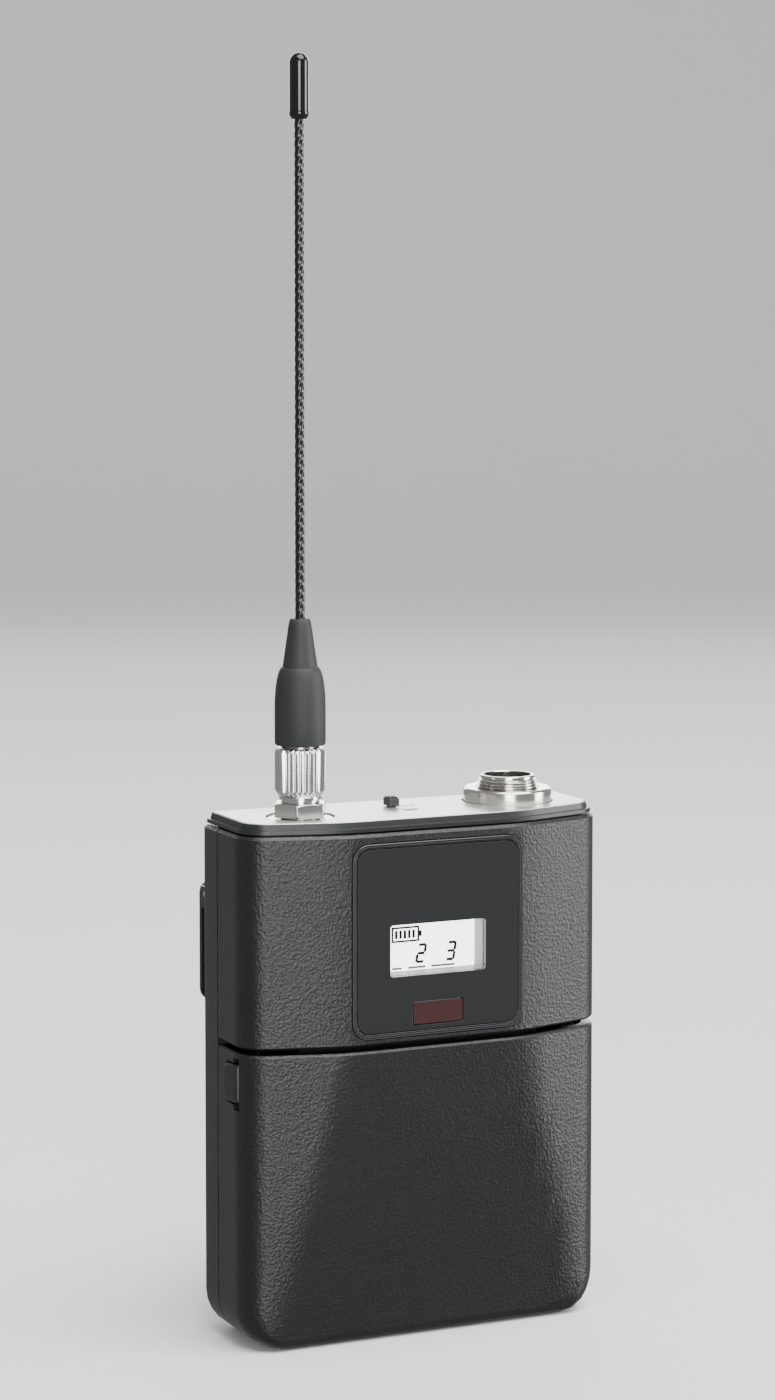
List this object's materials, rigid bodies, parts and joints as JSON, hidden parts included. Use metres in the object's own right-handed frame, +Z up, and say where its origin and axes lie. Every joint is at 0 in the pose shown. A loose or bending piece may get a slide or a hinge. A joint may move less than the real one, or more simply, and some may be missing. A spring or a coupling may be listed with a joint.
{
  "type": "wireless bodypack transmitter",
  "caption": "Belt-worn wireless microphone transmitter with a whip antenna, a threaded input socket, a small display, a hinged battery door and a belt clip.",
  "frame": {"origin": "on the flat base, under the middle of the case", "axes": "+Z up along the antenna; -Y is the front with the display; +X is the side with the input socket"},
  "size_m": [0.066, 0.029, 0.2087],
  "materials": {
    "black_paint": "fine-grained black paint on die-cast metal",
    "black_plastic": "matt moulded plastic",
    "satin_plate": "satin, fine blasted",
    "gloss_panel": "gloss dark plastic, no print",
    "clear_window": "clear polycarbonate",
    "dark_red_window": "dark red infrared-pass plastic",
    "grey_plastic": "light grey moulded plastic",
    "lcd_glass": "pale display glass",
    "circuit_board": "green solder mask",
    "bright_nickel": "bright nickel plate",
    "black_rubber": "matt rubber",
    "whip_sleeve": "black sleeve over stranded wire",
    "gold_contact": "gold-plated contact",
    "cell_jacket": "plain jacket without marks",
    "black_steel": "black-coated steel",
    "blank_label": "blank silver-grey film"
  },
  "bodies": {
    "case": {"front_case": "black_paint", "rear_case": "black_paint", "door_hinge_pin": "bright_nickel", "top_frame": "black_plastic", "top_plate": "satin_plate", "display_bezel": "black_plastic", "display_panel": "gloss_panel", "display_window": "clear_window", "infrared_window": "dark_red_window", "lcd_frame": "grey_plastic", "lcd_module": "lcd_glass", "infrared_receiver": "black_plastic", "display_board": "circuit_board", "main_board": "circuit_board", "radio_shield": "bright_nickel", "power_switch_body": "black_plastic", "status_led": "gloss_panel", "antenna_jack": "bright_nickel", "antenna_jack_nut": "bright_nickel", "antenna_ferrule": "bright_nickel", "antenna_boot": "black_rubber", "antenna_whip": "whip_sleeve", "antenna_end_cap": "black_plastic", "input_socket_shell": "bright_nickel", "input_socket_nut": "bright_nickel", "input_socket_insulator": "black_plastic", "input_pin_1": "gold_contact", "input_pin_2": "gold_contact", "input_pin_3": "gold_contact", "input_pin_4": "gold_contact", "battery_tray": "black_plastic", "battery_cell_lower": "cell_jacket", "battery_cell_upper": "cell_jacket", "contact_spring_lower": "bright_nickel", "contact_spring_upper": "bright_nickel", "contact_plate_lower": "bright_nickel", "contact_plate_upper": "bright_nickel", "control_deck": "black_plastic", "button_board": "circuit_board", "case_screw_1": "black_steel", "case_screw_2": "black_steel", "case_screw_3": "black_steel", "case_screw_4": "black_steel", "clip_pivot_left": "bright_nickel", "clip_pivot_right": "bright_nickel", "rating_label": "blank_label"},
    "door": {"battery_door": "black_paint"},
    "latch_left": {"door_latch_left": "black_plastic"},
    "latch_right": {"door_latch_right": "black_plastic"},
    "switch_lever": {"power_switch_lever": "black_plastic"},
    "menu": {"menu_button": "black_rubber"},
    "enter": {"enter_button": "black_rubber"},
    "clip": {"belt_clip": "black_steel"},
    "coupling": {"antenna_coupling_nut": "bright_nickel"}
  },
  "joints": [
    {"name": "door_hinge", "type": "hinge", "parent": "case", "child": "door", "pos_m": [0, 0.002, 0.0022], "axis": [1, 0, 0], "range_deg": [0, 95]},
    {"name": "left_latch_press", "type": "slide", "parent": "door", "child": "latch_left", "axis": [1, 0, 0], "range_m": [0, 0.0012], "stiffness_N_per_m": 1500},
    {"name": "right_latch_press", "type": "slide", "parent": "door", "child": "latch_right", "axis": [-1, 0, 0], "range_m": [0, 0.0012], "stiffness_N_per_m": 1500},
    {"name": "power_switch_slide", "type": "slide", "parent": "case", "child": "switch_lever", "axis": [1, 0, 0], "range_m": [0, 0.0028]},
    {"name": "menu_press", "type": "slide", "parent": "case", "child": "menu", "axis": [0, 1, 0], "range_m": [0, 0.0005], "stiffness_N_per_m": 2500},
    {"name": "enter_press", "type": "slide", "parent": "case", "child": "enter", "axis": [0, 1, 0], "range_m": [0, 0.0005], "stiffness_N_per_m": 2500},
    {"name": "clip_flex", "type": "hinge", "parent": "case", "child": "clip", "pos_m": [0, 0.01245, 0.072], "axis": [1, 0, 0], "range_deg": [0, 10], "stiffness_Nm_per_rad": 1.5},
    {"name": "coupling_nut_turn", "type": "hinge", "parent": "case", "child": "coupling", "pos_m": [-0.0196, -0.0005, 0.093], "axis": [0, 0, 1], "continuous": true}
  ]
}
